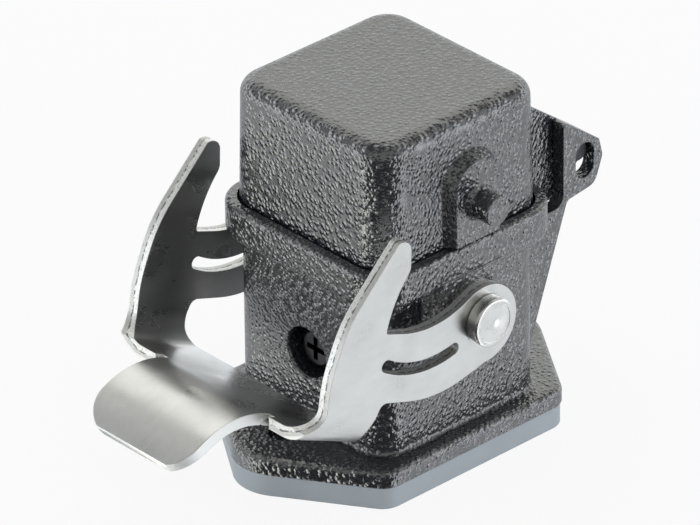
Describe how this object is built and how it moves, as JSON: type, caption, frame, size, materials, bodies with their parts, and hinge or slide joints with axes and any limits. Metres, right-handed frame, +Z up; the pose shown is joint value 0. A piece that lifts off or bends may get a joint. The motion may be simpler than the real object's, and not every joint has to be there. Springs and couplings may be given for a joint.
{
  "type": "rectangular connector housing",
  "caption": "Bulkhead connector housing with contact insert, hinged protection cover, single sheet steel locking lever and flange gasket.",
  "frame": {"origin": "middle between the two flange holes, on the underside of the flange gasket", "axes": "+X to the right along the front, +Y to the hinge side at the back, +Z up out of the panel"},
  "size_m": [0.038, 0.067, 0.0465],
  "materials": {
    "coated_casting": "black textured powder coat on die cast metal",
    "gasket_rubber": "blue grey flat gasket",
    "seal_rubber": "black soft seal",
    "stainless_sheet": "smooth stamped stainless sheet",
    "rivet_steel": "plain stainless",
    "pin_steel": "dark plain pin",
    "insert_plastic": "light grey moulded insulator",
    "plated_copper": "silver plated copper alloy",
    "screw_steel": "zinc plated steel"
  },
  "bodies": {
    "base": {"housing": "coated_casting", "flange_gasket": "gasket_rubber", "collar_seal": "seal_rubber", "insert_body": "insert_plastic", "earth_contact": "plated_copper", "earth_clamp_screw": "screw_steel", "insert_fixing_screw": "screw_steel", "lever_rivet_right": "rivet_steel", "lever_rivet_left": "rivet_steel", "pivot_washer_right": "rivet_steel", "pivot_washer_left": "rivet_steel", "socket_contact_1": "plated_copper", "terminal_screw_1": "screw_steel", "socket_contact_2": "plated_copper", "terminal_screw_2": "screw_steel", "socket_contact_3": "plated_copper", "terminal_screw_3": "screw_steel", "socket_contact_4": "plated_copper", "terminal_screw_4": "screw_steel"},
    "cover_body": {"cover": "coated_casting", "hinge_pin": "pin_steel"},
    "lever_body": {"locking_lever": "stainless_sheet"}
  },
  "joints": [
    {"name": "lever_pivot", "type": "hinge", "parent": "base", "child": "lever_body", "pos_m": [0, -0.0004, 0.0214], "axis": [-1, 0, 0], "range_deg": [0, 70]},
    {"name": "cover_hinge", "type": "hinge", "parent": "base", "child": "cover_body", "pos_m": [0, 0.0233, 0.031], "axis": [-1, 0, 0], "range_deg": [0, 110]}
  ]
}
